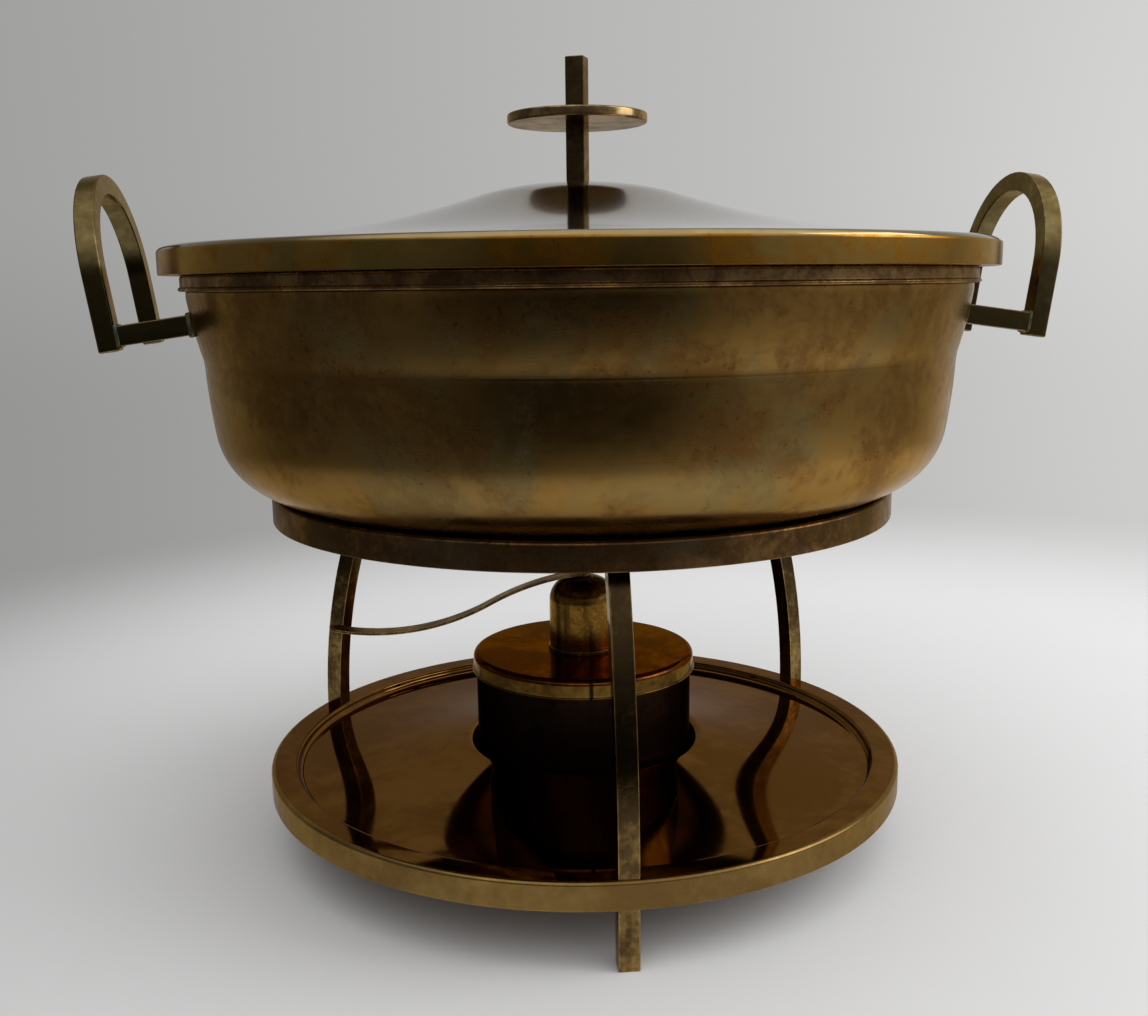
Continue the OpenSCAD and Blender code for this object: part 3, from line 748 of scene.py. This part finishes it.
def roughen_ends(piece, way, seed):
    """Sets in the sawn ends that face one way and leaves them uneven."""
    take(piece)
    bpy.ops.object.mode_set(mode="EDIT")
    bpy.ops.mesh.select_mode(type="FACE")
    bpy.ops.mesh.select_all(action="DESELECT")
    bpy.ops.object.mode_set(mode="OBJECT")
    for face in piece.data.polygons:
        face.select = face.normal.dot(way) > 0.99 and face.area > sawn_area * MM ** 2
    bpy.ops.object.mode_set(mode="EDIT")
    for inset in saw_insets:
        bpy.ops.mesh.inset(thickness=inset * MM)
        bpy.ops.transform.vertex_random(offset=saw_marks * MM, seed=seed + int(10 * inset))
    bpy.ops.object.mode_set(mode="OBJECT")


def add_solder(reach, aside, width, length, seed):
    """An uneven collar of solder round a strap, at a reach from the handle's legs."""
    bpy.ops.object.select_all(action="DESELECT")
    bpy.ops.mesh.primitive_cube_add(size=1, location=(-reach * MM, aside * MM, 0))
    lump = bpy.context.object
    lump.scale = (length * MM, width * MM, width * MM)
    bpy.ops.object.transform_apply(location=True, rotation=True, scale=True)
    bpy.ops.object.mode_set(mode="EDIT")
    bpy.ops.mesh.select_all(action="SELECT")
    bpy.ops.mesh.bevel(offset=solder_round * MM, segments=2, affect="EDGES")
    bpy.ops.mesh.select_all(action="SELECT")
    bpy.ops.mesh.subdivide(number_cuts=2, smoothness=0.2)
    bpy.ops.transform.vertex_random(offset=solder_lumps * MM, seed=seed)
    bpy.ops.object.mode_set(mode="OBJECT")
    bpy.ops.object.shade_smooth()
    return lump


solder_green = aged_brass("solder_green", (0.3, 0.25, 0.12), (0.13, 0.1, 0.05), patch=3,
                          rough=(0.4, 0.6), lines=0.0, dents=0.3, spots=0.3, tint=(0.16, 0.3, 0.24),
                          tinted=0.8)
for side, turn in HANDLE_TURNS.items():
    handle = start_bar("handle_" + side + "_bar", (0, -handle_span / 2, -handle_drop))
    arch_leg = handle_drop + handle_rise
    draw_out((0, 0, arch_leg))
    bpy.ops.mesh.spin(steps=handle_steps, angle=math.pi, center=(0, 0, handle_rise * MM), axis=(1, 0, 0))
    draw_out((0, 0, -arch_leg))
    finish_mesh()
    round_edges(handle, width=0.55, segments=3)
    roughen_ends(handle, Vector((0, 0, -1)), turn)
    seat_handle(handle, turn)
    smooth(handle)
    paint(handle, handle_brass)
    stand_for(handle, "handle_" + side + "_arch", "pan")
    for end, sign in STRAP_ENDS.items():
        strap_sign = sign if side == "right" else -sign
        strap_length = handle_reach + collar_flare
        aside = strap_sign * handle_span / 2
        strap_name = "handle_" + side + "_strap_" + end + "_bar"
        strap = start_bar(strap_name, (-bar / 2, aside, 0), (0, -math.pi / 2, 0))
        draw_out((-(strap_length + bar), 0, 0))
        finish_mesh()
        seat_handle(strap, turn)
        core = spin_sheet("pan_core", pan_side(strap_bite) + [(0, pan_high.z)])
        trim(strap, core)
        round_edges(strap, width=0.4)
        smooth(strap)
        paint(strap, handle_brass)
        stand_for(strap, "handle_" + side + "_strap_" + end, "pan")
        pan_reach = handle_reach + handle_seat / 2
        outer = add_solder(bar / 2 + 0.2, aside, width=bar + 0.7, length=1.1, seed=turn + sign + 3)
        inner = add_solder(pan_reach + 0.7, aside, width=bar + 1.1, length=1.8, seed=turn + sign + 7)
        take(outer)
        inner.select_set(True)
        bpy.ops.object.join()
        outer.name = outer.data.name = "handle_" + side + "_solder_" + end
        seat_handle(outer, turn)
        paint(outer, solder_green)
        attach(outer, "pan")

# Food pan: the inner pan that holds the food over the hot water, spun from brass sheet. Its wall is turned
# out into a rolled rim with a bead, which sits on the water pan's edge as a stained band under the lid.
food_low, food_high = corners("food_pan")
food_sheet = 1.0
food_corner = 14.0
food_lean = 12.0
mouth_gap = 1.0
roll_bead = 0.6
roll_r = food_high.x - roll_bead
roll_h = food_high.z - pan_high.z
food_r = neck_r - pan_sheet - mouth_gap
food_wall_h = pan_high.z - food_low.z - food_corner
food_flat_r = food_r - (food_corner + food_wall_h * sine(food_lean)) / cosine(food_lean)
food_top_r = food_r + roll_h * math.tan(math.radians(food_lean))
food_mouth_r = food_top_r - food_sheet / cosine(food_lean)
roll_under = food_high.z - food_sheet
turn_in_z = pan_high.z + food_sheet
turn_in_r = neck_r - pan_sheet


def food_side(depth):
    """The food pan's outline from the middle of its bottom to the start of its wall, at a depth in."""
    return [(0, food_low.z + depth),
            *arc((food_flat_r, food_low.z + food_corner), food_corner - depth, -90, -food_lean, 14)]


food_outline = [
    *food_side(0),
    (food_top_r - food_sheet * math.tan(math.radians(food_lean)), roll_under),
    (roll_r - food_sheet, roll_under),
    (roll_r - food_sheet, turn_in_z),
    (turn_in_r, turn_in_z),
    (turn_in_r, pan_high.z),
    *arc((roll_r, pan_high.z + roll_bead), roll_bead, -90, 90, 8),
    *arc((roll_r - food_sheet, roll_under), food_sheet, 0, 90, 6),
    (food_mouth_r, food_high.z),
    *food_side(food_sheet)[::-1],
]
food_pan = spin_sheet("food_pan_spun", food_outline)
round_edges(food_pan, width=0.2)
smooth(food_pan)
food_brass = aged_brass("food_brass", (0.5, 0.39, 0.2), (0.38, 0.27, 0.13), cover=0.45, patch=26,
                        rough=(0.2, 0.34), lines=0.3, dents=0.05, spots=0.35)
rim_brass = aged_brass("rim_brass", (0.22, 0.13, 0.056), (0.1, 0.055, 0.024), cover=0.55, patch=12,
                       rough=(0.22, 0.42), lines=0.2, dents=0.08, spots=0.6, wear=0.2)
paint(food_pan, food_brass)
rim_paint_low = pan_high.z - 0.1
paint(food_pan, rim_brass, lambda middle, normal: middle.z > rim_paint_low
      and middle.xy.length > food_mouth_r)
stand_for(food_pan, "food_pan", "food_pan")

# Lid: a low dome spun from one disc of brass sheet, concave towards the border, with a rounded edge and an
# upright band. The lacquered dome mirrors the room, and the band is brown-gold.
lid_low, lid_high = corners("lid_shell")
lid_r = lid_high.x
lid_sheet = 1.2
lid_band = 8.1
lid_edge = 2.0
lid_border = 7.1
crown_r = 6.5
shoulder_r = 33.0
shoulder_slope = 17.6
border_slope = 2.0
lid_top = lid_low.z + lid_band
border_r = lid_r - lid_border
convex_r = (shoulder_r - crown_r) / sine(shoulder_slope)
concave_r = (border_r - shoulder_r) / (sine(shoulder_slope) - sine(border_slope))
concave_middle = (border_r + concave_r * sine(border_slope), lid_top + concave_r * cosine(border_slope))


def lid_side(depth):
    """The lid's outline from the crown to its lower edge, at a depth in from its outside."""
    return [
        (0, lid_high.z - depth),
        *arc((crown_r, lid_high.z - convex_r), convex_r - depth, 90, 90 - shoulder_slope, 16),
        *arc(concave_middle, concave_r + depth, 270 - shoulder_slope, 270 - border_slope, 36)[1:],
        *arc((lid_r - lid_edge, lid_top - lid_edge), lid_edge - depth, 90, 0, 8),
        (lid_r - depth, lid_low.z),
    ]


lid = spin_sheet("lid_spun", lid_side(0) + lid_side(lid_sheet)[::-1], steps=192)
round_edges(lid, width=0.4)
smooth(lid)
lid_dome_brass = aged_brass("lid_dome_brass", (0.38, 0.27, 0.1), (0.31, 0.21, 0.075), cover=0.45, patch=50,
                            rough=(0.04, 0.08), lines=0.02, dents=0.012, spots=0.15, edge=(0.48, 0.465, 0.44),
                            coat=1.0)
lid_band_brass = aged_brass("lid_band_brass", (0.33, 0.2, 0.052), (0.31, 0.135, 0.015), patch=30,
                            rough=(0.16, 0.3), lines=0.12, dents=0.05, spots=0.25,
                            tint=(0.2, 0.155, 0.045), tinted=0.7)
lid_inside_brass = aged_brass("lid_inside_brass", (0.46, 0.35, 0.18), (0.32, 0.22, 0.1), patch=22,
                              rough=(0.25, 0.4), lines=0.3, dents=0.05, spots=0.4)
paint(lid, lid_dome_brass)
paint(lid, lid_inside_brass, lambda middle, normal: normal.z < -0.3)
lid_band_top = lid_top - lid_edge * 0.55
paint(lid, lid_band_brass, lambda middle, normal: middle.z < lid_band_top
      and middle.xy.length > lid_r - lid_edge)
stand_for(lid, "lid_shell", "lid")

# Seat ring: an L-shaped ring of brass sheet, soldered inside the lid's band. Its flange rests on the food
# pan's rim and its skirt keeps the lid in the middle.
seat_low, seat_high = corners("lid_seat_ring")
seat_gap = 0.7
seat_r = food_mouth_r - (lid_low.z - seat_low.z) * math.tan(math.radians(food_lean)) - seat_gap
seat_outline = [
    (seat_high.x, seat_high.z),
    (seat_r - lid_sheet, seat_high.z),
    (seat_r - lid_sheet, seat_low.z),
    (seat_r, seat_low.z),
    (seat_r, lid_low.z),
    (seat_high.x, lid_low.z),
]
seat = spin_sheet("lid_seat_spun", seat_outline)
round_edges(seat, width=0.25)
smooth(seat)
paint(seat, lid_inside_brass)
stand_for(seat, "lid_seat_ring", "lid")

# Knob post: a length of the same square bar, stood on the lid's crown a little turned. It has gone dark
# bronze brown, and its edges are only just rubbed.
post_low, post_high = corners("lid_post")
post_turn = -22.6
post = start_bar("knob_post", (0, 0, post_low.z), (0, 0, math.radians(post_turn)))
draw_out((0, 0, post_high.z - post_low.z))
finish_mesh()
round_edges(post, width=0.35)
smooth(post)
knob_bronze = aged_brass("knob_bronze", (0.15, 0.095, 0.042), (0.08, 0.048, 0.022), cover=0.55, patch=12,
                         rough=(0.22, 0.36), lines=0.03, dents=0.12, spots=0.4, wear=0.4,
                         worn=(0.4, 0.28, 0.14))
paint(post, knob_bronze)
stand_for(post, "lid_post", "lid")

# Knob disc: a round brass plate with rounded edges, cut square in the middle and soldered on the post as a
# finger rest. Its edge is golden.
disc_low, disc_high = corners("lid_disc")
disc_edge = 0.6
disc_r = disc_high.x
disc_outline = [
    (0, disc_low.z),
    *arc((disc_r - disc_edge, disc_low.z + disc_edge), disc_edge, -90, 0, 5),
    *arc((disc_r - disc_edge, disc_high.z - disc_edge), disc_edge, 0, 90, 5),
    (0, disc_high.z),
]
disc = spin_sheet("knob_disc", disc_outline, steps=96)
bpy.ops.object.select_all(action="DESELECT")
bpy.ops.mesh.primitive_cube_add(size=(bar + 2 * leg_hole_gap) * MM, rotation=(0, 0, math.radians(post_turn)),
                                location=(0, 0, (disc_low.z + disc_high.z) / 2 * MM))
trim(disc, bpy.context.object)
smooth(disc)
disc_brass = aged_brass("disc_brass", (0.34, 0.24, 0.11), (0.16, 0.105, 0.05), patch=12,
                        rough=(0.16, 0.28), lines=0.1, dents=0.06, spots=0.4, wear=0.3)
paint(disc, disc_brass)
stand_for(disc, "lid_disc", "lid")

# Knob washer and screw: a brass washer and a slotted screw inside the lid, which pull the post down on the
# crown.
washer_low, washer_high = corners("knob_washer")
screw_low, screw_high = corners("knob_screw")
screw_r = 2.0
screw_head_r = screw_high.x
screw_head_z = washer_low.z
screw_slot = 1.0
screw_round = 1.0
washer_outline = [
    (screw_r, washer_low.z),
    (washer_high.x, washer_low.z),
    (washer_high.x, washer_high.z),
    (screw_r, washer_high.z),
]
washer = spin_sheet("knob_washer_punched", washer_outline, steps=64)
round_edges(washer, width=0.15)
smooth(washer)
paint(washer, fastener_brass)
stand_for(washer, "knob_washer", "lid")

screw_outline = [
    (0, screw_low.z),
    *arc((screw_head_r - screw_round, screw_low.z + screw_round), screw_round, -90, 0, 6),
    (screw_head_r, screw_head_z),
    (screw_r, screw_head_z),
    (screw_r, screw_high.z),
    (0, screw_high.z),
]
screw = spin_sheet("knob_screw_turned", screw_outline, steps=64)
bpy.ops.object.select_all(action="DESELECT")
bpy.ops.mesh.primitive_cube_add(size=1, location=(0, 0, screw_low.z * MM))
slot_cutter = bpy.context.object
slot_cutter.scale = (4 * screw_head_r * MM, screw_slot * MM, 2 * screw_slot * MM)
bpy.ops.object.transform_apply(location=False, rotation=False, scale=True)
trim(screw, slot_cutter)
smooth(screw)
paint(screw, fastener_brass)
stand_for(screw, "knob_screw", "lid")

# Stage: a plain pale cloth that the dish stands on. It reaches a little further behind the dish and to its
# right, and fades out towards its edge.
floor_r = 0.6
floor_bright_r = 0.23
floor_gone_r = floor_r * 0.96
floor_back = 0.05
floor_aside = 0.1
bpy.ops.object.select_all(action="DESELECT")
bpy.ops.mesh.primitive_circle_add(vertices=96, radius=floor_r, fill_type="NGON",
                                  location=(floor_aside, floor_back, 0))
floor = bpy.context.object
floor.name = floor.data.name = "pale_floor"
bpy.ops.object.transform_apply(location=True, rotation=True, scale=True)
floor_cloth = bpy.data.materials.new("floor_cloth")
floor_cloth.use_nodes = True
floor_tree = floor_cloth.node_tree
floor_tree.nodes.remove(floor_tree.nodes["Principled BSDF"])
floor_coords = add_node(floor_tree, "TexCoord").outputs["Object"]
floor_span = {0: floor_coords, 1: (floor_aside, floor_back, 0)}
floor_reach = add_node(floor_tree, "VectorMath", floor_span, operation="DISTANCE").outputs["Value"]
floor_fade = soft_step(floor_tree, floor_reach, floor_bright_r, floor_gone_r)
floor_weave = blotches(floor_tree, floor_coords, 60.0)
floor_tone = mix_tones(floor_tree, floor_weave, (0.91, 0.915, 0.925), (0.94, 0.945, 0.955))
floor_matt = add_node(floor_tree, "BsdfDiffuse", {"Color": floor_tone}).outputs[0]
floor_gone = add_node(floor_tree, "BsdfTransparent").outputs[0]
floor_mix = add_node(floor_tree, "MixShader", {0: floor_fade, 1: floor_matt, 2: floor_gone}).outputs[0]
floor_tree.links.new(floor_mix, floor_tree.nodes["Material Output"].inputs["Surface"])
paint(floor, floor_cloth)

# Light: one soft window to the right and a little in front, and a room that glows overhead, is pale behind
# the dish and dim in front of it. The camera and the metal see the same room.
window_place = Vector((1.03, -0.22, 0.66))
window_aim = Vector((0, 0, 0.1))
window_size = 0.7
window_power = 4.0
overhead = Vector((0.1, -0.36, 1.0)).normalized()
ceiling_glow = 0.95
back_glow = 0.4
front_glow = 0.01
left_share = 0.68
right_share = 1.28
sky_glow = 0.05
right_glow = 0.31
left_glow = 0.09
window = bpy.data.objects.new("window", bpy.data.lights.new("window", "AREA"))
window.data.size = window_size
window.data.energy = window_power
window.location = window_place
window.rotation_euler = (window_aim - window_place).to_track_quat("-Z", "Y").to_euler()
bpy.context.scene.collection.objects.link(window)

world = bpy.data.worlds.new("studio")
world.use_nodes = True
bpy.context.scene.world = world
room = world.node_tree
outward = add_node(room, "TexCoord").outputs["Generated"]
toward = add_node(room, "SeparateXYZ", {0: outward})
height = add_node(room, "VectorMath", {0: outward, 1: overhead}, operation="DOT_PRODUCT").outputs["Value"]
ceiling = soft_step(room, height, 0.4, 0.85, 0.0, ceiling_glow)
behind = soft_step(room, toward.outputs["Y"], 0.25, 0.95, front_glow, back_glow)
sided = soft_step(room, toward.outputs["X"], -0.6, 0.6, left_share, right_share)
upward = soft_step(room, toward.outputs["Z"], -0.1, 0.08, 0.0, sky_glow)
rightward = soft_step(room, toward.outputs["X"], 0.2, 0.9, 0.0, right_glow)
leftward = soft_step(room, toward.outputs["X"], -0.3, -0.9, 0.0, left_glow)
level = calculate(room, "MULTIPLY", behind, sided)
for glow in (rightward, leftward, upward, ceiling):
    level = calculate(room, "ADD", level, glow)
backing = room.nodes["Background"]
backing.inputs["Color"].default_value = (1.0, 0.995, 0.985, 1)
room.links.new(level, backing.inputs["Strength"])

# Camera: low and close in front of the dish, a little to the left, looking slightly down. It is level with
# the food pan's rim and has a moderately wide lens.
camera_reach = 0.404
camera_height = 0.181
camera_turn = math.radians(-6)
camera_pitch = math.radians(10.35)
camera_roll = math.radians(-0.7)
camera_aside = -0.0025
camera_lens = 38.6
camera = bpy.data.objects.new("camera", bpy.data.cameras.new("camera"))
camera.data.lens = camera_lens
turned = Matrix.Rotation(camera_turn, 3, "Z")
camera.location = turned @ Vector((camera_aside, -camera_reach, camera_height))
tilted = Matrix.Rotation(math.pi / 2 - camera_pitch, 3, "X") @ Matrix.Rotation(camera_roll, 3, "Z")
camera.rotation_euler = (turned @ tilted).to_euler()
bpy.context.scene.collection.objects.link(camera)
bpy.context.scene.camera = camera
bpy.context.scene.view_settings.view_transform = "Standard"
